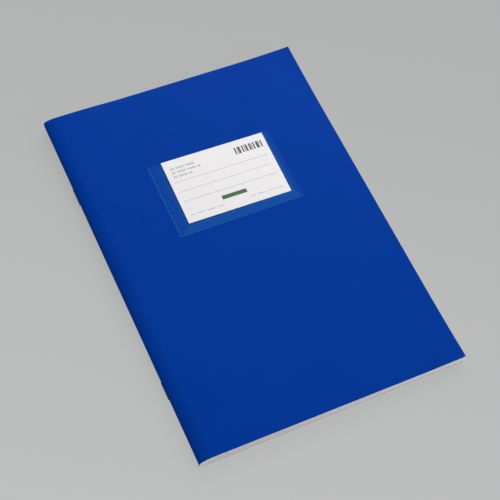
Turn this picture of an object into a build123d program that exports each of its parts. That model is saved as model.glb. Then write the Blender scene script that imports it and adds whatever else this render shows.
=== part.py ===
from build123d import *
import os
from math import atan2, cos, sin

# Stapled exercise book, closed, lying on its back cover.
# X runs from the spine to the fore-edge, Y from the foot to the head, Z up.
# The origin is the middle of the book's footprint, on the surface it lies on. Millimetres.

# Book
book_width = 208.0            # spine fold to fore-edge
book_height = 297.0           # foot to head

# Cover and sheets
cover_thickness = 0.35
paper_thickness = 0.10
sheet_count = 25              # folded sheets, two leaves each
air_at_fold = 0.02            # loose air beside each sheet where the staples hold the fold tight
air_at_swell = 0.078          # the same where the block is thickest, just off the fold
air_at_fore_edge = 0.026      # the same at the fore-edge, where the block lies closer
swell_reach = 6.2             # from the fold axis to the swell, where the flat leaves begin

# Staples
staple_wire = 0.6
staple_crown = 15.0           # over the outside of the legs
staple_clinch = 5.5           # bent-over end of each leg, along the fold
staple_bend = 0.45            # bend radius at the wire's centre
lower_staple_from_foot = 58.5
upper_staple_from_foot = 228.0
crown_seat = 0.03             # between the crown and the cover's fold
clinch_room = 0.10            # between the clinch and the innermost fold
leg_clearance = 0.05          # round each leg where it pierces the folds

# Label pocket and card, on the front cover
pocket_from_spine = 57.05
pocket_from_foot = 164.65
card_width = 84.0
card_height = 56.5
card_thickness = 0.25
card_skew = -0.95             # degrees, as it lies askew in the pocket
card_play_spine_side = 1.7    # card to weld, on each side
card_play_fore_side = 1.1
card_play_foot_side = 1.2
card_clearance = 0.05         # above and below the card
weld_spine_side = 9.35        # welded borders of the film
weld_fore_side = 5.4
weld_foot_side = 7.25
film_thickness = 0.18

# Heights and places that follow
inner_radius = staple_wire / 2 + clinch_room
layer_at_fold = paper_thickness + air_at_fold
layer_at_swell = paper_thickness + air_at_swell
layer_at_fore_edge = paper_thickness + air_at_fore_edge
spine_radius = inner_radius + sheet_count * layer_at_fold + cover_thickness
swell_half = inner_radius + sheet_count * layer_at_swell + cover_thickness
fore_half = sheet_count * layer_at_fore_edge + cover_thickness

crown_proud = staple_wire + crown_seat
spine_x = crown_proud - (book_width + crown_proud) / 2
fore_x = spine_x + book_width
foot_y = -book_height / 2

axis_x = spine_x + spine_radius       # the fold axis, on the clinched wire's centre
axis_z = swell_half
root_x = axis_x + swell_reach         # where the flat leaves begin

crown_x = spine_x - crown_seat - staple_wire / 2
leg_offset = (staple_crown - staple_wire) / 2
staple_centres = {
    "lower_staple": foot_y + lower_staple_from_foot,
    "upper_staple": foot_y + upper_staple_from_foot,
}

os.makedirs("parts", exist_ok=True)


def flat_sheet(name, root_z, fore_z, thickness):
    """A flat sheet from the swell to the fore-edge, between the two mid-heights given."""
    half = thickness / 2
    with BuildPart() as sheet:
        with BuildSketch(Plane.XZ):
            with BuildLine():
                Polyline(
                    (root_x, root_z - half),
                    (fore_x, fore_z - half),
                    (fore_x, fore_z + half),
                    (root_x, root_z + half),
                    close=True,
                )
            make_face()
        extrude(amount=book_height / 2, both=True)
    sheet.part.label = name
    export_step(sheet.part, f"parts/{name}.step")


def touch_point(fold_radius, swell):
    """Where the tight arc of a fold runs into the wide arc that levels out at the swell.

    The tight arc has its centre on the fold axis. The wide arc lies level at the swell, and its radius is
    the one at which the two arcs touch.
    """
    wide_radius = (swell_reach**2 + swell**2 - fold_radius**2) / (2 * (swell - fold_radius))
    share = fold_radius / (wide_radius - fold_radius)
    return swell_reach * share, (wide_radius - swell) * share


def folds(name, sizes, thickness):
    """Folds nested round the fold axis, from the outermost inwards, pierced by the staple legs.

    Each size is a fold's mid-radius and its half-height at the swell.
    """
    with BuildPart() as fold:
        with BuildSketch(Plane.XZ):
            for mid_radius, mid_swell in sizes:
                for side, mode in ((thickness / 2, Mode.ADD), (-thickness / 2, Mode.SUBTRACT)):
                    radius = mid_radius + side
                    swell = mid_swell + side
                    back, rise = touch_point(radius, swell)
                    upper_touch = (axis_x - back, axis_z + rise)
                    lower_touch = (axis_x - back, axis_z - rise)
                    upper_end = (root_x, axis_z + swell)
                    lower_end = (root_x, axis_z - swell)
                    with BuildLine():
                        TangentArc(upper_end, upper_touch, tangent=(-1, 0))
                        ThreePointArc(upper_touch, (axis_x - radius, axis_z), lower_touch)
                        TangentArc(lower_end, lower_touch, tangent=(-1, 0))
                        Line(lower_end, upper_end)
                    make_face(mode=mode)
        extrude(amount=book_height / 2, both=True)
        with BuildSketch(Plane.YZ.offset(spine_x)):
            for centre_y in staple_centres.values():
                with Locations((centre_y - leg_offset, axis_z), (centre_y + leg_offset, axis_z)):
                    Circle(staple_wire / 2 + leg_clearance)
        extrude(amount=spine_radius, mode=Mode.SUBTRACT)
    fold.part.label = name
    export_step(fold.part, f"parts/{name}.step")


def staple(name, centre_y):
    """A wire staple: crown outside the spine, legs through the folds, ends clinched on the fold axis."""
    near_leg = centre_y - leg_offset
    far_leg = centre_y + leg_offset
    with BuildPart() as wire:
        with BuildLine(Plane.XY.offset(axis_z)) as path:
            FilletPolyline(
                (axis_x, near_leg + staple_clinch),
                (axis_x, near_leg),
                (crown_x, near_leg),
                (crown_x, far_leg),
                (axis_x, far_leg),
                (axis_x, far_leg - staple_clinch),
                radius=staple_bend,
            )
        with BuildSketch(Plane(origin=path.line @ 0, z_dir=path.line % 0)):
            Circle(staple_wire / 2)
        sweep()
    wire.part.label = name
    export_step(wire.part, f"parts/{name}.step")


# The cover: one plastic sheet folded round the block
cover_root_z = axis_z + swell_half - cover_thickness / 2
cover_fore_z = 2 * fore_half - cover_thickness / 2
flat_sheet("back_cover", cover_thickness / 2, cover_thickness / 2, cover_thickness)
flat_sheet("front_cover", cover_root_z, cover_fore_z, cover_thickness)
folds(
    "cover_spine",
    [(spine_radius - cover_thickness / 2, swell_half - cover_thickness / 2)],
    cover_thickness,
)

# The sheets, from the outermost inwards: leaf 1 lies under the front cover, the last one on the back cover
fold_sizes = []
for sheet_index in range(sheet_count):
    layers_inside = sheet_count - sheet_index - 0.5
    swell = inner_radius + layers_inside * layer_at_swell
    fore_offset = layers_inside * layer_at_fore_edge
    front_number = sheet_index + 1
    back_number = 2 * sheet_count - sheet_index
    flat_sheet(
        f"leaf_{front_number:02d}", axis_z + swell, fore_half + fore_offset, paper_thickness
    )
    flat_sheet(
        f"leaf_{back_number:02d}", axis_z - swell, fore_half - fore_offset, paper_thickness
    )
    fold_sizes.append((inner_radius + layers_inside * layer_at_fold, swell))
folds("sheet_folds", fold_sizes, paper_thickness)

# The staples
for staple_name, staple_y in staple_centres.items():
    staple(staple_name, staple_y)

# The label lies on the front cover's outer face, which slopes down to the fore-edge
cover_slope = atan2(cover_root_z - cover_fore_z, fore_x - root_x)
label_run = (spine_x + pocket_from_spine - root_x) / cos(cover_slope)
label_plane = Plane(
    origin=(
        root_x + label_run * cos(cover_slope),
        foot_y + pocket_from_foot,
        cover_root_z + cover_thickness / 2 - label_run * sin(cover_slope),
    ),
    x_dir=(cos(cover_slope), 0, -sin(cover_slope)),
    z_dir=(sin(cover_slope), 0, cos(cover_slope)),
)
corner = (Align.MIN, Align.MIN)
room_width = card_play_spine_side + card_width + card_play_fore_side
room_height = card_play_foot_side + card_height
room_depth = card_thickness + 2 * card_clearance
pocket_width = weld_spine_side + room_width + weld_fore_side
pocket_height = weld_foot_side + room_height

# The pocket: film welded down round three sides, raised over the card, open at the head
with BuildPart() as label_pocket:
    with BuildSketch(label_plane):
        Rectangle(pocket_width, pocket_height, align=corner)
    extrude(amount=film_thickness)
    with BuildSketch(label_plane):
        with Locations((weld_spine_side - film_thickness, weld_foot_side - film_thickness)):
            Rectangle(room_width + 2 * film_thickness, room_height + film_thickness, align=corner)
    extrude(amount=room_depth + film_thickness)
    with BuildSketch(label_plane):
        with Locations((weld_spine_side, weld_foot_side)):
            Rectangle(room_width, room_height, align=corner)
    extrude(amount=room_depth, mode=Mode.SUBTRACT)
label_pocket.part.label = "label_pocket"
export_step(label_pocket.part, "parts/label_pocket.step")

# The card, its head edge level with the pocket's mouth
card_middle_x = weld_spine_side + card_play_spine_side + card_width / 2
card_middle_y = weld_foot_side + card_play_foot_side + card_height / 2
with BuildPart() as label_card:
    with BuildSketch(label_plane.offset(card_clearance)):
        with Locations((card_middle_x, card_middle_y)):
            Rectangle(card_width, card_height, rotation=card_skew)
    extrude(amount=card_thickness)
label_card.part.label = "label_card"
export_step(label_card.part, "parts/label_card.step")

print(f"fold axis at x {axis_x:.4f}, z {axis_z:.4f}; fore-edge at x {fore_x:.4f}")
print(f"thickness at the swell {2 * swell_half:.3f}, at the fore-edge {2 * fore_half:.3f}")
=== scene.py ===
"""Looks of a stapled exercise book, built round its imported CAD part.

X runs from the spine to the fore-edge, Y from the foot to the head and Z up, in metres. The book lies
closed on its back cover, with the middle of its footprint at the origin.
"""

import logging
from collections.abc import Callable
from dataclasses import dataclass
from enum import Enum
from math import asin, atan2, cos, pi, radians, sin

import bpy
import numpy as np
from mathutils import Matrix, Vector

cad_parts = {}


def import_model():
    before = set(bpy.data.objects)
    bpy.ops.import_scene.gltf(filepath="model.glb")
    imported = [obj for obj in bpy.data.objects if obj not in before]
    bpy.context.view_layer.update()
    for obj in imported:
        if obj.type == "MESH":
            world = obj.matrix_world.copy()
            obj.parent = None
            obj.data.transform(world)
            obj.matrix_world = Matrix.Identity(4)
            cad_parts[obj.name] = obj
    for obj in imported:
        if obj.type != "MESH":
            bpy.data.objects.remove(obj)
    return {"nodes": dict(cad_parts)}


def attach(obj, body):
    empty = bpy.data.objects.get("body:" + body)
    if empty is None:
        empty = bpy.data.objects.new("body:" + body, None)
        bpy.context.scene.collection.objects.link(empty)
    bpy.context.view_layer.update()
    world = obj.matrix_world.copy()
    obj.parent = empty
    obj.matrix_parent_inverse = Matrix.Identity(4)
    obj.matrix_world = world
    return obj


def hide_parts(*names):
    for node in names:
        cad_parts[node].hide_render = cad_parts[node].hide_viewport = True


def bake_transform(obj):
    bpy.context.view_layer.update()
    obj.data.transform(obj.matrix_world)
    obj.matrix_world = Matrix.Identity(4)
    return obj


LOG = logging.getLogger("exercise_book")
Colour = tuple[float, float, float]
Place = tuple[float, float, float]
Range = tuple[float, float]
Feed = bpy.types.NodeSocket | float


class Maths(Enum):
    """The sums that a pattern is worked out with."""

    ADD = "ADD"
    SUBTRACT = "SUBTRACT"
    MULTIPLY = "MULTIPLY"
    SIZE = "ABSOLUTE"
    FRACTION = "FRACT"
    BELOW = "LESS_THAN"
    ABOVE = "GREATER_THAN"
    LARGER = "MAXIMUM"
    SMALLER = "MINIMUM"


class Stroke(Enum):
    """How a rule on the label is drawn."""

    SOLID = "solid"
    DOTTED = "dotted"
    BROKEN = "broken"
    BARS = "bars"


class NodeGraph:
    """A material with one Principled shader, and short calls that add the nodes feeding it."""

    def __init__(self, name: str) -> None:
        """Starts an empty material.

        Args:
            name: The material's name.
        """
        self.material = bpy.data.materials.new(name)
        self.material.use_nodes = True
        self.tree = self.material.node_tree
        self.tree.nodes.clear()
        output = self.tree.nodes.new("ShaderNodeOutputMaterial")
        self.shader = self.tree.nodes.new("ShaderNodeBsdfPrincipled")
        self.tree.links.new(self.shader.outputs["BSDF"], output.inputs["Surface"])
        self.coordinates = self.tree.nodes.new("ShaderNodeTexCoord")

    def give(self, socket: bpy.types.NodeSocket, value: Feed) -> None:
        """Links a socket to another node's output, or sets its number."""
        if isinstance(value, bpy.types.NodeSocket):
            self.tree.links.new(value, socket)
        else:
            socket.default_value = value

    def feed(self, name: str, value: Feed | Colour) -> None:
        """Gives the shader's named socket a link, a number or a colour."""
        colour = isinstance(value, tuple)
        self.give(self.shader.inputs[name], (*value, 1.0) if colour else value)

    def maths(self, sum_kind: Maths, first: Feed, second: Feed = 0.0) -> bpy.types.NodeSocket:
        """Adds one sum.

        Args:
            sum_kind: The sum.
            first: Its first number or link.
            second: Its second, where it has one.

        Returns:
            The result's socket.
        """
        node = self.tree.nodes.new("ShaderNodeMath")
        node.operation = sum_kind.value
        self.give(node.inputs[0], first)
        self.give(node.inputs[1], second)
        return node.outputs[0]

    def place(self, centre: Place = (0, 0, 0), turn: float = 0.0, stretch: Place = (1, 1, 1)
              ) -> bpy.types.NodeSocket:
        """Object coordinates measured from a centre, turned and stretched.

        Args:
            centre: Where the pattern's origin lies.
            turn: The pattern's turn about Z, in radians.
            stretch: How far the pattern is drawn out along each axis.

        Returns:
            The coordinates' socket.
        """
        node = self.tree.nodes.new("ShaderNodeMapping")
        node.vector_type = "TEXTURE"
        node.inputs["Location"].default_value = centre
        node.inputs["Rotation"].default_value = (0, 0, turn)
        node.inputs["Scale"].default_value = stretch
        self.tree.links.new(self.coordinates.outputs["Object"], node.inputs["Vector"])
        return node.outputs["Vector"]

    def axes(self, vector: bpy.types.NodeSocket) -> tuple[bpy.types.NodeSocket, ...]:
        """Splits a vector into its X, Y and Z sockets."""
        node = self.tree.nodes.new("ShaderNodeSeparateXYZ")
        self.tree.links.new(vector, node.inputs[0])
        return tuple(node.outputs)

    def noise(self, size: float, detail: float = 3.0, vector: bpy.types.NodeSocket | None = None
              ) -> bpy.types.NodeSocket:
        """Cloudy noise.

        Args:
            size: About how far apart its blotches lie, in metres.
            detail: How many finer layers it has.
            vector: Coordinates to read it at, or the object's own.

        Returns:
            The socket of its value, about 0.5 on average.
        """
        node = self.tree.nodes.new("ShaderNodeTexNoise")
        node.inputs["Scale"].default_value = 1.0 / size
        node.inputs["Detail"].default_value = detail
        self.tree.links.new(vector or self.coordinates.outputs["Object"], node.inputs["Vector"])
        return node.outputs["Fac"]

    def attribute(self, name: str) -> bpy.types.NodeSocket:
        """Reads a number that the mesh keeps for each of its points."""
        node = self.tree.nodes.new("ShaderNodeAttribute")
        node.attribute_name = name
        return node.outputs["Fac"]

    def seen(self) -> bpy.types.NodeSocket:
        """1 where the camera sees the surface, directly, in gloss or through something clear, else 0."""
        path = self.tree.nodes.new("ShaderNodeLightPath")
        seen = path.outputs["Is Camera Ray"]
        for ray in ("Is Glossy Ray", "Is Transmission Ray"):
            seen = self.maths(Maths.LARGER, seen, path.outputs[ray])
        return seen

    def span(self, value: Feed, source: Range, target: Range) -> bpy.types.NodeSocket:
        """Maps one range of a value on another, and holds it at the ends.

        Args:
            value: The number or link to map.
            source: The range it is read in.
            target: The range it is given.

        Returns:
            The mapped value's socket.
        """
        node = self.tree.nodes.new("ShaderNodeMapRange")
        self.give(node.inputs["Value"], value)
        node.inputs["From Min"].default_value, node.inputs["From Max"].default_value = source
        node.inputs["To Min"].default_value, node.inputs["To Max"].default_value = target
        return node.outputs["Result"]

    def mix(self, share: Feed, first: Feed | Colour, second: Feed | Colour) -> bpy.types.NodeSocket:
        """Mixes two colours.

        Args:
            share: The second colour's share.
            first: The colour at share 0.
            second: The colour at share 1.

        Returns:
            The mixed colour's socket.
        """
        node = self.tree.nodes.new("ShaderNodeMix")
        node.data_type = "RGBA"
        self.give(node.inputs[0], share)
        for socket, value in ((node.inputs[6], first), (node.inputs[7], second)):
            self.give(socket, (*value, 1.0) if isinstance(value, tuple) else value)
        return node.outputs[2]

    def bump(self, height: bpy.types.NodeSocket, depth: float, strength: float = 1.0) -> None:
        """Roughens the shader's normal.

        Args:
            height: The relief, from 0 to 1.
            depth: How deep a relief of 1 is, in metres.
            strength: How much of it shows.
        """
        node = self.tree.nodes.new("ShaderNodeBump")
        node.inputs["Strength"].default_value = strength
        node.inputs["Distance"].default_value = depth
        self.tree.links.new(height, node.inputs["Height"])
        self.tree.links.new(node.outputs["Normal"], self.shader.inputs["Normal"])


@dataclass(frozen=True)
class BookSizes:
    """The book's main sizes in metres, as its CAD part has them."""

    width: float = 0.208
    height: float = 0.297
    spine_x: float = -0.103685
    cover: float = 0.00035
    paper: float = 0.00010
    sheets: int = 25
    inner_radius: float = 0.00040
    layer_at_fold: float = 0.00012
    layer_at_swell: float = 0.000178
    layer_at_fore_edge: float = 0.000126
    swell_reach: float = 0.0062
    fan_step: float = 0.002

    @property
    def fore_x(self) -> float:
        """The fore-edge's X."""
        return self.spine_x + self.width

    @property
    def foot_y(self) -> float:
        """The foot's Y; the head's is its opposite."""
        return -self.height / 2

    @property
    def spine_radius(self) -> float:
        """Outer radius of the cover's fold at the spine."""
        return self.inner_radius + self.sheets * self.layer_at_fold + self.cover

    @property
    def swell_half(self) -> float:
        """Half the book's thickness at the swell, and the fold axis' height."""
        return self.inner_radius + self.sheets * self.layer_at_swell + self.cover

    @property
    def fore_half(self) -> float:
        """Half the book's thickness at the fore-edge."""
        return self.sheets * self.layer_at_fore_edge + self.cover

    @property
    def axis_x(self) -> float:
        """The fold axis' X."""
        return self.spine_x + self.spine_radius

    @property
    def root_x(self) -> float:
        """X of the swell, where the folds end and the flat leaves begin."""
        return self.axis_x + self.swell_reach

    @property
    def slope(self) -> float:
        """Fall of the front cover from the swell to the fore-edge, in metres a metre."""
        return 2 * (self.swell_half - self.fore_half) / (self.fore_x - self.root_x)


@dataclass(frozen=True)
class CoverFinish:
    """Satin plastic sheet: one deep blue, a fine pressed grain, and cut edges that have turned paler."""

    colour: Colour = (0.0002, 0.0402, 0.317)
    deep: Colour = (0.0002, 0.0382, 0.304)
    edge: Colour = (0.02, 0.10, 0.44)
    grain: float = 0.00045
    cloud: float = 0.035
    edge_width: float = 0.0005
    edge_patch: float = 0.004
    sheen_cloud: float = 0.012
    roughness: Range = (0.46, 0.52)
    grain_depth: float = 0.00002
    specular: float = 0.015

    def material(self, sizes: BookSizes) -> bpy.types.Material:
        """Makes the plastic.

        Args:
            sizes: The book's sizes, which say where the edges are.

        Returns:
            The material.
        """
        graph = NodeGraph("cover_plastic")
        x, y, _ = graph.axes(graph.coordinates.outputs["Object"])
        cloud = graph.span(graph.noise(self.cloud, 4.0), (0.3, 0.7), (0.0, 1.0))
        plain = graph.mix(cloud, self.colour, self.deep)
        to_end = graph.maths(Maths.SUBTRACT, sizes.height / 2, graph.maths(Maths.SIZE, y))
        to_fore = graph.maths(Maths.SUBTRACT, sizes.fore_x, x)
        to_edge = graph.maths(Maths.SMALLER, to_end, to_fore)
        rubbed = graph.span(to_edge, (0.0, self.edge_width), (1.0, 0.0))
        patchy = graph.span(graph.noise(self.edge_patch, 2.0), (0.45, 0.65), (0.0, 0.35))
        worn = graph.maths(Maths.MULTIPLY, rubbed, patchy)
        graph.feed("Base Color", graph.mix(worn, plain, self.edge))
        grain = graph.noise(self.grain, 2.0)
        graph.feed("Roughness", graph.span(graph.noise(self.sheen_cloud), (0.3, 0.7), self.roughness))
        graph.feed("Specular IOR Level", self.specular)
        graph.bump(grain, self.grain_depth, 0.5)
        return graph.material


@dataclass(frozen=True)
class PaperFinish:
    """Uncoated writing paper with soft fibres, pale blue ruling and a red margin."""

    colour: Colour = (0.84, 0.81, 0.82)
    shade: Colour = (0.79, 0.76, 0.77)
    line: Colour = (0.36, 0.47, 0.70)
    margin: Colour = (0.72, 0.25, 0.25)
    pitch: float = 0.008
    line_width: float = 0.00028
    head_space: float = 0.028
    foot_space: float = 0.014
    margin_from_spine: float = 0.034
    ink: float = 0.8
    fibre: float = 0.0011
    fibre_depth: float = 0.00002
    roughness: Range = (0.82, 0.95)
    specular: float = 0.2

    def material(self, sizes: BookSizes) -> bpy.types.Material:
        """Makes the paper.

        Args:
            sizes: The book's sizes, from which the ruling is set out.

        Returns:
            The material.
        """
        graph = NodeGraph("ruled_paper")
        x, y, _ = graph.axes(graph.coordinates.outputs["Object"])
        fibres = graph.noise(self.fibre, 5.0)
        paper = graph.mix(graph.span(fibres, (0.35, 0.65), (0.0, 1.0)), self.colour, self.shade)
        first_line = sizes.height / 2 - self.head_space
        down = graph.maths(Maths.SUBTRACT, first_line, y)
        count = graph.maths(Maths.MULTIPLY, graph.maths(Maths.ADD, down, self.pitch / 2), 1 / self.pitch)
        off_line = graph.maths(Maths.SUBTRACT, graph.maths(Maths.FRACTION, count), 0.5)
        from_line = graph.maths(Maths.SIZE, off_line)
        on_line = graph.maths(Maths.BELOW, from_line, self.line_width / self.pitch / 2)
        below_head = graph.maths(Maths.ABOVE, down, -self.pitch / 2)
        above_foot = graph.maths(Maths.ABOVE, y, sizes.foot_y + self.foot_space)
        ruled = graph.maths(Maths.MULTIPLY, on_line, graph.maths(Maths.MULTIPLY, below_head, above_foot))
        lined = graph.mix(graph.maths(Maths.MULTIPLY, ruled, self.ink), paper, self.line)
        from_margin = graph.maths(Maths.SUBTRACT, x, sizes.spine_x + self.margin_from_spine)
        on_margin = graph.maths(Maths.BELOW, graph.maths(Maths.SIZE, from_margin), self.line_width / 2)
        margin_ink = graph.maths(Maths.MULTIPLY, on_margin, self.ink)
        graph.feed("Base Color", graph.mix(margin_ink, lined, self.margin))
        graph.feed("Roughness", graph.span(fibres, (0.3, 0.7), self.roughness))
        graph.feed("Specular IOR Level", self.specular)
        graph.bump(fibres, self.fibre_depth, 0.35)
        return graph.material


@dataclass(frozen=True)
class Rule:
    """A printed mark on the label card: a box in shares of the card, across from the spine and down."""

    left: float
    right: float
    top: float
    bottom: float
    colour: Colour
    stroke: Stroke = Stroke.SOLID
    strength: float = 1.0


WRITING_GREY: Colour = (0.30, 0.30, 0.31)
PRINT_GREY: Colour = (0.22, 0.22, 0.24)
BAR_BLACK: Colour = (0.035, 0.035, 0.04)
BAND_GREEN: Colour = (0.035, 0.13, 0.03)
LABEL_RULES: tuple[Rule, ...] = (
    Rule(0.04, 0.96, 0.350, 0.3585, WRITING_GREY, Stroke.DOTTED),
    Rule(0.04, 0.96, 0.508, 0.5165, WRITING_GREY, Stroke.DOTTED),
    Rule(0.04, 0.96, 0.664, 0.6725, WRITING_GREY, Stroke.DOTTED),
    Rule(0.05, 0.30, 0.125, 0.155, PRINT_GREY, Stroke.BROKEN, 0.75),
    Rule(0.05, 0.33, 0.190, 0.220, PRINT_GREY, Stroke.BROKEN, 0.75),
    Rule(0.05, 0.24, 0.255, 0.285, PRINT_GREY, Stroke.BROKEN, 0.75),
    Rule(0.685, 0.965, 0.105, 0.215, BAR_BLACK, Stroke.BARS),
    Rule(0.38, 0.62, 0.755, 0.815, BAND_GREEN),
    Rule(0.05, 0.37, 0.885, 0.900, PRINT_GREY, Stroke.BROKEN, 0.7),
    Rule(0.63, 0.95, 0.885, 0.900, PRINT_GREY, Stroke.BROKEN, 0.7),
)


@dataclass(frozen=True)
class Stripes:
    """Even stripes: how far apart they start, in metres, and the share of that which each one fills."""

    pitch: float
    share: float

    def ink(self, graph: NodeGraph, along: bpy.types.NodeSocket) -> bpy.types.NodeSocket:
        """1 on the stripes and 0 between them."""
        count = graph.maths(Maths.FRACTION, graph.maths(Maths.MULTIPLY, along, 1 / self.pitch))
        return graph.maths(Maths.BELOW, count, self.share)


@dataclass(frozen=True)
class CardFinish:
    """White board with a plain printed form: dotted writing lines, grey rules, bars and a green band."""

    colour: Colour = (0.85, 0.83, 0.835)
    shade: Colour = (0.81, 0.79, 0.795)
    width: float = 0.0840
    height: float = 0.0565
    centre: Place = (0.006415, 0.05285, 0.0)
    turn: float = radians(-0.95)
    fibre: float = 0.0016
    fibre_depth: float = 0.00001
    roughness: Range = (0.5, 0.62)
    specular: float = 0.3
    dots: Stripes = Stripes(0.0009, 0.6)
    words: Stripes = Stripes(0.0083, 0.84)
    letters: Stripes = Stripes(0.0011, 0.62)
    wide_bars: Stripes = Stripes(0.0031, 0.34)
    narrow_bars: Stripes = Stripes(0.00197, 0.30)

    def mark(self, graph: NodeGraph, rule: Rule, across: bpy.types.NodeSocket, down: bpy.types.NodeSocket
             ) -> bpy.types.NodeSocket:
        """Where one rule is printed: inside its box, and on the strokes that fill it.

        Args:
            graph: The card's nodes.
            rule: The rule.
            across: Metres from the card's middle towards the fore-edge.
            down: Metres from the card's middle towards the foot.

        Returns:
            The socket of the ink's share.
        """
        middle_x = ((rule.left + rule.right) / 2 - 0.5) * self.width
        middle_y = ((rule.top + rule.bottom) / 2 - 0.5) * self.height
        half_x = (rule.right - rule.left) / 2 * self.width
        half_y = (rule.bottom - rule.top) / 2 * self.height
        beside = graph.maths(Maths.SIZE, graph.maths(Maths.SUBTRACT, across, middle_x))
        above = graph.maths(Maths.SIZE, graph.maths(Maths.SUBTRACT, down, middle_y))
        ink = graph.maths(Maths.MULTIPLY, graph.maths(Maths.BELOW, beside, half_x),
                          graph.maths(Maths.BELOW, above, half_y))
        if rule.stroke is Stroke.DOTTED:
            ink = graph.maths(Maths.MULTIPLY, ink, self.dots.ink(graph, across))
        if rule.stroke is Stroke.BROKEN:
            words, letters = self.words.ink(graph, across), self.letters.ink(graph, across)
            ink = graph.maths(Maths.MULTIPLY, ink, graph.maths(Maths.MULTIPLY, words, letters))
        if rule.stroke is Stroke.BARS:
            wide, narrow = self.wide_bars.ink(graph, across), self.narrow_bars.ink(graph, across)
            ink = graph.maths(Maths.MULTIPLY, ink, graph.maths(Maths.LARGER, wide, narrow))
        return graph.maths(Maths.MULTIPLY, ink, rule.strength)

    def material(self) -> bpy.types.Material:
        """Makes the printed card.

        Returns:
            The material.
        """
        graph = NodeGraph("printed_card")
        across, up, _ = graph.axes(graph.place(self.centre, self.turn))
        down = graph.maths(Maths.MULTIPLY, up, -1.0)
        _, _, facing = graph.axes(graph.coordinates.outputs["Normal"])
        printed_side = graph.maths(Maths.ABOVE, facing, 0.5)
        fibres = graph.noise(self.fibre, 4.0)
        colour = graph.mix(graph.span(fibres, (0.35, 0.65), (0.0, 1.0)), self.colour, self.shade)
        for rule in LABEL_RULES:
            ink = graph.maths(Maths.MULTIPLY, self.mark(graph, rule, across, down), printed_side)
            colour = graph.mix(ink, colour, rule.colour)
        graph.feed("Base Color", colour)
        graph.feed("Roughness", graph.span(fibres, (0.3, 0.7), self.roughness))
        graph.feed("Specular IOR Level", self.specular)
        graph.bump(fibres, self.fibre_depth, 0.3)
        return graph.material


@dataclass(frozen=True)
class FilmFinish:
    """Clear plastic film, alone or welded to the cover and taking up its blue.

    Its colour runs to the paler one by a number that the mesh keeps at each point, from 0, clear, to 1,
    palest: a little is the weld's own haziness where it is pressed, the rest is painted highlight on the
    weld's rib crests, bead, inner rim and creases, and painted sheen on the window's wave crests.
    """

    name: str
    colour: Colour
    pale_and_highlight: Colour
    alpha: float
    roughness: float
    specular: float
    ripple: float = 0.0021
    ripple_depth: float = 0.00003

    def material(self) -> bpy.types.Material:
        """Makes the film.

        Returns:
            The material.
        """
        graph = NodeGraph(self.name)
        # Turns paler by the mesh's number: some haziness, and painted highlights and painted sheen.
        graph.feed("Base Color", graph.mix(graph.attribute("haze_and_highlight"), self.colour, self.pale_and_highlight))
        graph.feed("Roughness", self.roughness)
        graph.feed("Specular IOR Level", self.specular)
        graph.feed("Alpha", self.alpha)
        graph.bump(graph.noise(self.ripple, 2.0), self.ripple_depth, 0.4)
        return graph.material


@dataclass(frozen=True)
class WireFinish:
    """Galvanised staple wire: bright grey, with drawing marks along its length."""

    colour: Colour = (0.38, 0.38, 0.39)
    dull: Colour = (0.12, 0.12, 0.13)
    streak: float = 0.0002
    streak_stretch: float = 12
    streak_depth: float = 0.00001
    roughness: Range = (0.26, 0.44)

    def material(self) -> bpy.types.Material:
        """Makes the wire.

        Returns:
            The material.
        """
        graph = NodeGraph("staple_wire")
        streaks = graph.noise(self.streak, vector=graph.place(stretch=(1, self.streak_stretch, 1)))
        dulled = graph.span(streaks, (0.35, 0.7), (0.0, 1.0))
        graph.feed("Base Color", graph.mix(dulled, self.colour, self.dull))
        graph.feed("Metallic", 1.0)
        graph.feed("Roughness", graph.span(streaks, (0.3, 0.7), self.roughness))
        graph.bump(streaks, self.streak_depth, 0.4)
        return graph.material


def slab_faces(rows: int, columns: int) -> np.ndarray:
    """Quads of a closed slab whose outer grid of points comes first and whose inner grid follows.

    Each cell gives one outer quad, and one inner quad turned the other way. The grid's border, followed
    once round, joins the two.

    Args:
        rows: Points along the first direction.
        columns: Points along the second, which stands to the left of the first, seen from outside.

    Returns:
        The quads' point numbers, one row of four each.
    """
    number = np.arange(rows * columns).reshape(rows, columns)
    corners = (number[:-1, :-1], number[1:, :-1], number[1:, 1:], number[:-1, 1:])
    outer = np.stack(corners, axis=-1).reshape(-1, 4)
    inner = outer[:, ::-1] + rows * columns
    border = np.concatenate((number[:, 0], number[-1, 1:], number[-2::-1, -1], number[0, -2:0:-1]))
    following = np.roll(border, -1)
    rim = np.stack((following, border, border + rows * columns, following + rows * columns), axis=-1)
    return np.concatenate((outer, inner, rim))


def make_slab(name: str, outer: np.ndarray, inner: np.ndarray, material: bpy.types.Material,
              sharp: float = radians(40), haze_and_highlight: np.ndarray | None = None) -> bpy.types.Object:
    """A thin closed piece between two grids of points.

    Args:
        name: The piece's name.
        outer: Points of the outer side, rows by columns by three.
        inner: Points of the inner side, in the same order.
        material: Its finish.
        sharp: Edges that turn by more than this angle stay sharp.
        haze_and_highlight: How much paler each point of a grid is, from haziness and painted highlights, if
            its finish reads that.

    Returns:
        The piece, at the origin.
    """
    rows, columns = outer.shape[:2]
    points = np.concatenate((outer.reshape(-1, 3), inner.reshape(-1, 3)))
    mesh = bpy.data.meshes.new(name)
    mesh.from_pydata(points.tolist(), [], slab_faces(rows, columns).tolist())
    mesh.shade_smooth()
    mesh.set_sharp_from_angle(angle=sharp)
    mesh.materials.append(material)
    if haze_and_highlight is not None:
        values = np.tile(haze_and_highlight.ravel(), 2).astype(np.float32)
        mesh.attributes.new("haze_and_highlight", "FLOAT", "POINT").data.foreach_set("value", values)
    piece = bpy.data.objects.new(name, mesh)
    bpy.context.scene.collection.objects.link(piece)
    LOG.info("%s: %d faces", name, len(mesh.polygons))
    return piece


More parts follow.
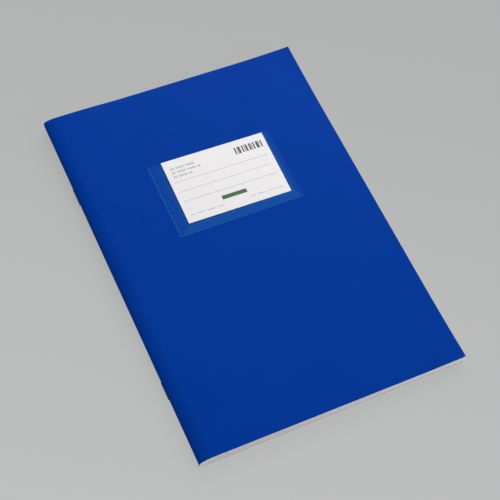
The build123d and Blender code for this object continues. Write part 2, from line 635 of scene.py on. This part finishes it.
def ease(value: np.ndarray) -> np.ndarray:
    """Smooth step: 3v^2 - 2v^3, with v held between 0 and 1."""
    held = np.clip(value, 0.0, 1.0)
    return held * held * (3.0 - 2.0 * held)


def hump(value: np.ndarray) -> np.ndarray:
    """A cosine hump: 1 at 0, falling to 0 at -1 and at 1."""
    return 0.5 + 0.5 * np.cos(pi * np.clip(value, -1.0, 1.0))


@dataclass(frozen=True)
class FoldLine:
    """One side of a folded sheet, seen along the spine: a tight arc that runs into a wide one."""

    sizes: BookSizes
    radius: float
    swell: float

    def upper(self, share: np.ndarray) -> np.ndarray:
        """Points from the spine up to the swell.

        The tight arc, of radius r, is centred on the fold axis. The wide arc lies level at the swell, a
        reach c past the axis and a height h above it, so its centre is right below that point, and it
        touches the tight arc if its radius is L = (c^2 + h^2 - r^2) / (2 (h - r)). Both have the touching
        point at the angle atan2(L - h, -c), and a point's share of the whole length picks its arc and its
        angle.

        Args:
            share: Shares of the line's length, 0 at the spine and 1 at the swell.

        Returns:
            X and Z of each point, one row each.
        """
        reach, rise = self.sizes.swell_reach, self.swell
        wide = (reach**2 + rise**2 - self.radius**2) / (2 * (rise - self.radius))
        touch = atan2(wide - rise, -reach)
        tight_length = self.radius * (pi - touch)
        length = tight_length + wide * (touch - pi / 2)
        along = share * length
        tight_angle = pi - along / self.radius
        wide_angle = touch - (along - tight_length) / wide
        on_tight = along <= tight_length
        x = np.where(on_tight, self.radius * np.cos(tight_angle), reach + wide * np.cos(wide_angle))
        z = np.where(on_tight, self.radius * np.sin(tight_angle), rise - wide + wide * np.sin(wide_angle))
        return np.stack((self.sizes.axis_x + x, self.sizes.swell_half + z), axis=-1)

    def lower(self, share: np.ndarray) -> np.ndarray:
        """Points from the swell below up to the spine: the upper line's mirror image, run the other way."""
        points = self.upper(1.0 - share)
        points[:, 1] = 2 * self.sizes.swell_half - points[:, 1]
        return points


@dataclass(frozen=True)
class Fold:
    """The fold of one sheet, in two halves that meet at the spine.
    """

    sizes: BookSizes
    name: str
    middle_radius: float
    middle_swell: float
    thickness: float
    node: str
    slot: str
    front_body: str
    lower_share: float
    spine_share: float
    stations: int = 28
    rows: int = 3
    lift_start: float = 0.2
    lift_fullness: float = 0.8
    lift_outset: float = 0.45

    def build(self, material: bpy.types.Material, lift: Callable[[np.ndarray], np.ndarray] | None = None
              ) -> None:
        """Builds both halves.

        Each half is its line's points carried along the spine, the outer line's on the outer side and the
        inner line's on the inner side. A lifted fold stands up squarer: its upper half rises by the lift
        times a smooth step of the share s of its length, which is full at the lift's start, times
        1 + fullness (1 - s)^1.5, and moves out by outset (1 - s) of that.

        Args:
            material: The sheet's finish.
            lift: How far the fold's upper end is lifted at each Y, if it is.
        """
        half = self.thickness / 2
        outer = FoldLine(self.sizes, self.middle_radius + half, self.middle_swell + half)
        inner = FoldLine(self.sizes, self.middle_radius - half, self.middle_swell - half)
        share = np.linspace(0.0, 1.0, self.stations)
        y = np.linspace(self.sizes.foot_y, -self.sizes.foot_y, self.rows)
        rise = np.zeros((self.stations, self.rows))
        lower = self.half_piece("lower", outer.lower(share), inner.lower(share), y, rise, material)
        if lift is not None:
            fullness = 1.0 + self.lift_fullness * (1.0 - share) ** 1.5
            rise = np.outer(ease(share / self.lift_start) * fullness, lift(y))
        upper = self.half_piece("upper", outer.upper(share), inner.upper(share), y, rise, material)
        ends = outer.lower(share)[[0, -1]]
        self.bend(lower)
        ends = outer.upper(share)[[0, -1]]
        self.bend(upper)

    def half_piece(self, side: str, outer: np.ndarray, inner: np.ndarray, y: np.ndarray, rise: np.ndarray,
                   material: bpy.types.Material) -> bpy.types.Object:
        """Carries the two lines along the spine as one thin piece.

        Args:
            side: The half's name.
            outer: X and Z of the outer line.
            inner: X and Z of the inner line.
            y: Where the lines are repeated.
            rise: How far each point is lifted, for each point of a line and each Y.
            material: The finish.

        Returns:
            The half.
        """
        out = self.lift_outset * rise * (1.0 - np.linspace(0.0, 1.0, len(outer)))[:, None]
        grids = [np.stack((line[:, :1] - out, np.tile(y, (len(line), 1)), line[:, 1:] + rise), axis=-1)
                 for line in (outer, inner)]
        piece = make_slab(f"{self.name}_{side}", grids[0], grids[1], material)
        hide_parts(self.node)
        return piece

    def bend(self, piece: bpy.types.Object) -> None:
        """Bakes a half's transform into its mesh.

        Args:
            piece: The half.
        """
        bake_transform(piece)


@dataclass(frozen=True)
class Cover:
    """The plastic cover: a flat back panel, a fold round the spine and a slightly loose front panel."""

    sizes: BookSizes
    settle: float = 0.008
    corner_lift: float = 0.0018
    lift_from: Range = (0.051, 0.085)
    head_rise: float = 0.00115
    rise_way: float = 0.040
    rise_from: float = 0.0765
    panel_grid: tuple[int, int] = (120, 160)
    fold_stations: int = 48
    fold_rows: int = 121

    def front_height(self, x: np.ndarray, y: np.ndarray) -> np.ndarray:
        """Height of the front panel's outer face.

        It falls evenly from the swell to the fore-edge. At the swell it starts level, as the fold ends: the
        term d exp(-d / s), with d the way from the swell and s the length it settles over, takes the slope
        off there. Its two corners at the fore-edge lift off: by the squares of the shares of the ways from
        where it lies flat to the fore-edge, and to the foot or the head. Near the spine it stands off
        towards the head: by the head's lift times exp(-(d / r)^4), with r the way that takes. Between the
        two it lies flat, so the card can slide.

        Args:
            x: X of each point.
            y: Y of each point.

        Returns:
            Z of each point.
        """
        sizes = self.sizes
        way = x - sizes.root_x
        fall = sizes.slope * (way - way * np.exp(-way / self.settle))
        to_fore = np.clip((x - self.lift_from[0]) / (sizes.fore_x - self.lift_from[0]), 0.0, 1.0)
        to_end = np.clip((np.abs(y) - self.lift_from[1]) / (sizes.height / 2 - self.lift_from[1]), 0.0, 1.0)
        lift = self.corner_lift * to_fore**2 * to_end**2
        stand_off = self.head_lift(y) * np.exp(-((way / self.rise_way) ** 4))
        return 2 * sizes.swell_half - fall + lift + stand_off

    def head_lift(self, y: np.ndarray) -> np.ndarray:
        """How far the cover stands off the block at the swell: a smooth step along Y, up to the head."""
        return self.head_rise * ease((y - self.rise_from) / (self.sizes.height / 2 - self.rise_from))

    def build(self, nodes: dict[str, bpy.types.Object], finish: CoverFinish) -> None:
        """Builds the front panel and the fold, and dresses the back panel.

        Args:
            nodes: The CAD nodes.
            finish: The plastic.
        """
        material = finish.material(self.sizes)
        dress(nodes["back_cover"], material)
        sizes = self.sizes
        columns, rows = self.panel_grid
        x, y = np.meshgrid(np.linspace(sizes.root_x, sizes.fore_x, columns),
                           np.linspace(sizes.foot_y, -sizes.foot_y, rows), indexing="ij")
        z = self.front_height(x, y)
        outer = np.stack((x, y, z), axis=-1)
        inner = np.stack((x, y, z - sizes.cover), axis=-1)
        panel = make_slab("front_cover_panel", outer, inner, material)
        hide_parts("front_cover")
        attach(panel, "front_cover")
        fold = Fold(sizes, "cover_fold", sizes.spine_radius - sizes.cover / 2,
                    sizes.swell_half - sizes.cover / 2, sizes.cover, "cover_spine", "cover", "front_cover",
                    lower_share=0.0, spine_share=0.5, stations=self.fold_stations, rows=self.fold_rows)
        fold.build(material, self.head_lift)


@dataclass(frozen=True)
class TextBlock:
    """The nested paper sheets: flat leaves from the CAD part, and the folds between them."""

    sizes: BookSizes

    def build(self, nodes: dict[str, bpy.types.Object], finish: PaperFinish) -> None:
        """Dresses the leaves and builds the folds, from the outermost sheet inwards.

        Args:
            nodes: The CAD nodes.
            finish: The paper.
        """
        sizes = self.sizes
        material = finish.material(sizes)
        for number in range(1, 2 * sizes.sheets + 1):
            dress(nodes[f"leaf_{number:02d}"], material)
        for sheet in range(1, sizes.sheets + 1):
            layers_inside = sizes.sheets - sheet + 0.5
            lag = sizes.fan_step * sheet
            radius = sizes.inner_radius + layers_inside * sizes.layer_at_fold
            swell = sizes.inner_radius + layers_inside * sizes.layer_at_swell
            fold = Fold(sizes, f"sheet_{sheet:02d}_fold", radius, swell, sizes.paper, "sheet_folds", "paper",
                        f"leaf_{sheet:02d}", lower_share=lag / (1.0 - lag), spine_share=0.5 / (1.0 - lag))
            fold.build(material)


@dataclass(frozen=True)
class WeldHazeAndHighlight:
    """How much paler one side of the weld is painted: all over, as its own haziness, and on its rib crests,
    along its outer bead and at its inner rim, as painted highlights.
    """

    plain: float
    ribs: float
    bead: float
    rim: float


@dataclass(frozen=True)
class LabelPocket:
    """Clear film on the front cover: a ribbed weld on three sides and a window, open at the head."""

    cover: Cover
    from_spine: float = 0.05705
    from_foot: float = 0.16465
    weld_spine_side: float = 0.00935
    weld_fore_side: float = 0.0054
    weld_foot_side: float = 0.00725
    room_width: float = 0.0868
    room_height: float = 0.0577
    room_depth: float = 0.00035
    shoulder: float = 0.00045
    film: float = 0.00007
    seat: float = 0.00001
    rib_pitch: float = 0.00195
    rib_height: float = 0.00011
    bead_height: float = 0.00010
    bead_width: float = 0.0009
    bead_inset: float = 0.0004
    rim_width: float = 0.0012
    rim_inset: float = 0.0001
    rib_fades: Range = (0.16, 0.12)
    lap: float = 0.0002
    crease_height: float = 0.00010
    crease_lengths: Range = (0.0113, 0.0047)
    # Painted glints: how much paler the foot's creases are painted.
    crease_glint: float = 0.9
    slack: float = 0.00005
    slack_width: float = 0.004
    slack_waves: Range = (0.046, 0.061)
    # Painted sheen: how much paler the window's wave crests are painted.
    slack_sheen: float = 0.2
    window_grid: tuple[int, int] = (150, 100)
    # Paleness of each weld side: an even haziness, and painted highlights on the ribs, the bead and the rim.
    fore_haze_and_highlight: WeldHazeAndHighlight = WeldHazeAndHighlight(plain=0.0, ribs=0.44, bead=0.0, rim=0.75)
    foot_haze_and_highlight: WeldHazeAndHighlight = WeldHazeAndHighlight(plain=0.10, ribs=0.66, bead=0.25, rim=0.55)
    spine_haze_and_highlight: WeldHazeAndHighlight = WeldHazeAndHighlight(plain=0.0, ribs=0.44, bead=0.62, rim=0.6)

    @property
    def corner(self) -> np.ndarray:
        """X and Y of the pocket's corner next to the spine and the foot."""
        sizes = self.cover.sizes
        return np.array((sizes.spine_x + self.from_spine, sizes.foot_y + self.from_foot))

    @property
    def width(self) -> float:
        """The pocket's whole width."""
        return self.weld_spine_side + self.room_width + self.weld_fore_side

    @property
    def height(self) -> float:
        """The pocket's whole height."""
        return self.weld_foot_side + self.room_height

    @property
    def stations(self) -> tuple[int, int, int]:
        """Stations along the weld's fore side, foot and spine side: eight to a rib."""
        side, foot = round(8 * self.height / self.rib_pitch), round(8 * self.width / self.rib_pitch)
        return side, foot, side

    def by_side(self, fore: float, foot: float, spine: float) -> np.ndarray:
        """A column with one value for each station of the weld, by the side it lies on."""
        return np.repeat((fore, foot, spine), np.array(self.stations) + (0, 0, 1))[:, None]

    def grids(self, across: np.ndarray, up: np.ndarray, lift: np.ndarray, thickness: np.ndarray | float
              ) -> tuple[np.ndarray, np.ndarray]:
        """Upper and lower side of a film that lies a given lift above the cover.

        Args:
            across: Metres from the pocket's corner towards the fore-edge.
            up: Metres from it towards the head.
            lift: Height of the film's lower side above the cover.
            thickness: The film's thickness there.

        Returns:
            The points of the upper and of the lower side.
        """
        x, y = self.corner[0] + across, self.corner[1] + up
        base = self.cover.front_height(x, y) + self.seat + lift
        return np.stack((x, y, base + thickness), axis=-1), np.stack((x, y, base), axis=-1)

    def ring(self, inside: float) -> np.ndarray:
        """A line round three sides: from the head down the fore side, along the foot, up the spine side.

        Args:
            inside: Where it runs: 0 is the outer edge, 1 the weld's inner edge and 2 the shoulder's top.

        Returns:
            Across and up of each station, in metres from the pocket's corner.
        """
        share, past = min(inside, 1.0), max(inside - 1.0, 0.0) * self.shoulder
        left = self.weld_spine_side * share + past
        right = self.width - self.weld_fore_side * share - past
        foot = self.weld_foot_side * share + past
        corners = np.array(((right, self.height), (right, foot), (left, foot), (left, self.height)))
        lines = [np.linspace(start, end, count, endpoint=False)
                 for start, end, count in zip(corners[:-1], corners[1:], self.stations)]
        return np.concatenate((*lines, corners[-1:]))

    def weld(self, material: bpy.types.Material) -> bpy.types.Object:
        """The weld: a band round three sides, mitred at the two corners, with pressed ribs across it.

        The ribs follow a cosine of the way along each side, faded out near both edges. Just inside the outer
        edge runs a low bead, a cosine hump across its width. Past the weld's inner edge the film rises to
        the window's height in a shoulder, a smooth step, and along the foot it is creased there: two sine
        waves of different lengths. The film is painted paler on the rib crests, the bead and the creases,
        and in a rim, a cosine hump, where the shoulder begins: painted highlights and glints in place of the
        light that these shapes catch. Only an even paleness of each side is the weld's own haziness.

        Args:
            material: The welded film's finish.

        Returns:
            The weld.
        """
        inside = np.concatenate((np.linspace(0.0, 1.0, 16) ** 1.3, np.linspace(1.0, 2.0, 7)[1:]))
        points = np.stack([self.ring(place) for place in inside], axis=1)
        across, up = points[..., 0], points[..., 1]
        on_foot = self.by_side(0, 1, 0) == 1
        width = self.by_side(self.weld_fore_side, self.weld_foot_side, self.weld_spine_side)
        way = np.where(on_foot, across, up)
        share, past = np.clip(inside, 0.0, 1.0), np.clip(inside - 1.0, 0.0, 1.0)
        outer_fade, inner_fade = self.rib_fades
        rib = (0.5 + 0.5 * np.cos(2 * pi * way / self.rib_pitch)) ** 1.5
        rib = rib * ease(share / outer_fade) * ease((1.0 - share) / inner_fade)
        bead = hump((share * width - self.bead_inset) / self.bead_width)
        rim = hump(((share - 1.0) * width + past * self.shoulder - self.rim_inset) / self.rim_width)
        long, short = self.crease_lengths
        creases = np.sin(2 * pi * way / long + 0.4) + 0.8 * np.sin(2 * pi * way / short + 2.1)
        crease = np.where(on_foot, np.clip(creases - 0.5, 0.0, 1.0), 0.0) * np.sin(pi * past)
        lift = self.room_depth * ease(past) + self.crease_height * crease
        top, bottom = self.grids(across, up, lift,
                                 self.film + self.rib_height * rib + self.bead_height * bead)
        # Paler by side: an even haziness, painted highlights on the rib crests, bead and inner rim, and
        # painted glints on the creases.
        sides = (self.fore_haze_and_highlight, self.foot_haze_and_highlight, self.spine_haze_and_highlight)
        plain = self.by_side(*(side.plain for side in sides))
        ribs = self.by_side(*(side.ribs for side in sides)) * rib
        beads = self.by_side(*(side.bead for side in sides)) * bead
        rims = self.by_side(*(side.rim for side in sides)) * rim
        haze_and_highlight = np.clip(plain + ribs + beads + rims + self.crease_glint * crease, 0.0, 1.0)
        return make_slab("label_pocket_weld", top[::-1], bottom[::-1], material, radians(60), haze_and_highlight[::-1])

    def window(self, material: bpy.types.Material) -> bpy.types.Object:
        """The window: film that lies slack over the card, from the shoulder of the weld to the open head.

        It bulges a little in slow waves, a sine across times a cosine up, which a smooth step holds down at
        the shoulder. Its wave crests are painted paler, a painted sheen.

        Args:
            material: The clear film's finish.

        Returns:
            The window.
        """
        left = self.weld_spine_side + self.shoulder - self.lap
        right = self.width - self.weld_fore_side - self.shoulder + self.lap
        foot = self.weld_foot_side + self.shoulder - self.lap
        columns, rows = self.window_grid
        across, up = np.meshgrid(np.linspace(left, right, columns), np.linspace(foot, self.height, rows),
                                 indexing="ij")
        nearest = np.minimum(np.minimum(across - left, right - across), up - foot)
        sideways, upwards = self.slack_waves
        waves = np.sin(2 * pi * across / sideways + 0.9) * np.cos(2 * pi * up / upwards)
        bulge = self.slack * (1.0 + waves) * ease(nearest / self.slack_width)
        lift = self.room_depth + self.film + self.seat + bulge
        top, bottom = self.grids(across, up, lift, self.film)
        # The wave crests are painted paler: a painted sheen.
        haze_and_highlight = self.slack_sheen * np.clip(waves, 0.0, 1.0)
        return make_slab("label_pocket_window", top, bottom, material, radians(60), haze_and_highlight)

    def build(self, weld_finish: FilmFinish, window_finish: FilmFinish) -> None:
        """Builds both parts of the pocket.

        Args:
            weld_finish: The film where it is welded down.
            window_finish: The clear film.
        """
        for piece in (self.weld(weld_finish.material()), self.window(window_finish.material())):
            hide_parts("label_pocket")
            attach(piece, "front_cover")


@dataclass(frozen=True)
class Studio:
    """A plain floor, soft light from above and the camera of the photograph."""

    # The floor's colour runs from the near one to the far one: a painted light falloff.
    near_floor_painted_light: Colour = (0.57, 0.58, 0.575)
    far_floor_painted_shade: Colour = (0.385, 0.395, 0.39)
    floor_reach: float = 0.4
    floor_glow: float = 0.82
    floor_half: float = 3.0
    floor_below: float = 0.00008
    camera_at: Place = (-0.269039, -0.416283, 0.853729)
    azimuth: float = 0.58124
    elevation: float = 1.05044
    roll: float = -0.17294
    lens: float = 95.331
    sky: float = 0.54
    key_at: Place = (0.55, 0.80, 0.75)
    key_size: float = 0.8
    key_power: float = 10.2
    fill_at: Place = (2.30, -2.30, 0.83)
    fill_size: float = 1.3
    fill_power: float = 38.0

    def build(self) -> None:
        """Sets up floor, light, camera and view."""
        self.lay_floor()
        self.set_light()
        self.set_camera()
        bpy.context.scene.view_settings.view_transform = "Standard"

    def lay_floor(self) -> None:
        """Lays the floor just under the back cover: a grey sweep with a painted light falloff, paler towards
        the camera.

        Part of its grey glows by itself where it is seen, which softens the shadow on it.
        """
        half, level = self.floor_half, -self.floor_below
        corners = [(-half, -half, level), (half, -half, level), (half, half, level), (-half, half, level)]
        mesh = bpy.data.meshes.new("floor")
        mesh.from_pydata(corners, [], [(0, 1, 2, 3)])
        graph = NodeGraph("grey_floor")
        _, away, _ = graph.axes(graph.place(turn=-self.azimuth))
        # Painted light falloff: paler near the camera, darker away from it.
        painted_falloff = graph.span(away, (-self.floor_reach, self.floor_reach), (0.0, 1.0))
        colour = graph.mix(painted_falloff, self.near_floor_painted_light, self.far_floor_painted_shade)
        glow = graph.maths(Maths.MULTIPLY, graph.seen(), self.floor_glow)
        graph.feed("Base Color", graph.mix(glow, colour, (0.0, 0.0, 0.0)))
        graph.feed("Emission Color", colour)
        graph.feed("Emission Strength", glow)
        graph.feed("Roughness", 0.9)
        graph.feed("Specular IOR Level", 0.1)
        mesh.materials.append(graph.material)
        floor = bpy.data.objects.new("floor", mesh)
        bpy.context.scene.collection.objects.link(floor)

    def set_light(self) -> None:
        """Hangs two large soft lamps in an even glow: one past the head and a lower one before the foot.

        The low one makes no glare, which would whiten the card when it is seen from the head.
        """
        world = bpy.data.worlds.new("room")
        bpy.context.scene.world = world
        world.use_nodes = True
        glow = world.node_tree.nodes["Background"]
        glow.inputs["Color"].default_value = (1.0, 1.0, 1.0, 1.0)
        glow.inputs["Strength"].default_value = self.sky
        self.hang_lamp("key_lamp", self.key_at, self.key_size, self.key_power)
        fill = self.hang_lamp("fill_lamp", self.fill_at, self.fill_size, self.fill_power)
        fill.visible_glossy = False

    @staticmethod
    def hang_lamp(name: str, place: Place, size: float, power: float) -> bpy.types.Object:
        """Hangs a square soft lamp that faces the book and doesn't show in the picture itself.

        Args:
            name: The lamp's name.
            place: Where its middle is.
            size: Its side.
            power: Its power in watts.

        Returns:
            The lamp.
        """
        lamp = bpy.data.lights.new(name, "AREA")
        lamp.shape = "SQUARE"
        lamp.size = size
        lamp.energy = power
        hung = bpy.data.objects.new(name, lamp)
        hung.location = place
        hung.rotation_mode = "QUATERNION"
        hung.rotation_quaternion = (-hung.location).to_track_quat("-Z", "Y")
        hung.visible_camera = False
        bpy.context.scene.collection.objects.link(hung)
        return hung

    def set_camera(self) -> None:
        """Sets the camera by its place, its direction and its roll about that direction."""
        forward = Vector((sin(self.azimuth) * cos(self.elevation), cos(self.azimuth) * cos(self.elevation),
                          -sin(self.elevation)))
        level = Vector((cos(self.azimuth), -sin(self.azimuth), 0.0))
        upright = level.cross(forward)
        right = cos(self.roll) * level - sin(self.roll) * upright
        up = sin(self.roll) * level + cos(self.roll) * upright
        data = bpy.data.cameras.new("camera")
        data.lens, data.sensor_width = self.lens, 36.0
        data.clip_start, data.clip_end = 0.01, 20.0
        camera = bpy.data.objects.new("camera", data)
        turn = Matrix((right, up, -forward)).transposed()
        camera.matrix_world = Matrix.Translation(Vector(self.camera_at)) @ turn.to_4x4()
        bpy.context.scene.collection.objects.link(camera)
        bpy.context.scene.camera = camera


def dress(node: bpy.types.Object, material: bpy.types.Material) -> None:
    """Gives a CAD node a finish."""
    node.data.materials.clear()
    node.data.materials.append(material)
    LOG.info("%s: %s", node.name, material.name)


def main() -> None:
    """Builds the book's pieces in order, from the cover inwards, and the studio round them."""
    logging.basicConfig(level=logging.INFO, format="%(name)s: %(message)s")
    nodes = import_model()["nodes"]
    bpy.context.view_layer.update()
    sizes = BookSizes()
    cover = Cover(sizes)
    cover.build(nodes, CoverFinish())
    TextBlock(sizes).build(nodes, PaperFinish())
    wire = WireFinish().material()
    dress(nodes["lower_staple"], wire)
    dress(nodes["upper_staple"], wire)
    dress(nodes["label_card"], CardFinish().material())
    welded = FilmFinish("welded_film", colour=(0.0002, 0.037, 0.300), pale_and_highlight=(0.014, 0.125, 0.43),
                        alpha=1.0, roughness=0.35, specular=0.015)
    clear = FilmFinish("clear_film", colour=(0.20, 0.27, 0.40), pale_and_highlight=(0.5, 0.6, 0.75),
                       alpha=0.015, roughness=0.15, specular=0.3)
    LabelPocket(cover).build(welded, clear)
    Studio().build()


if __name__ == "__main__":
    main()
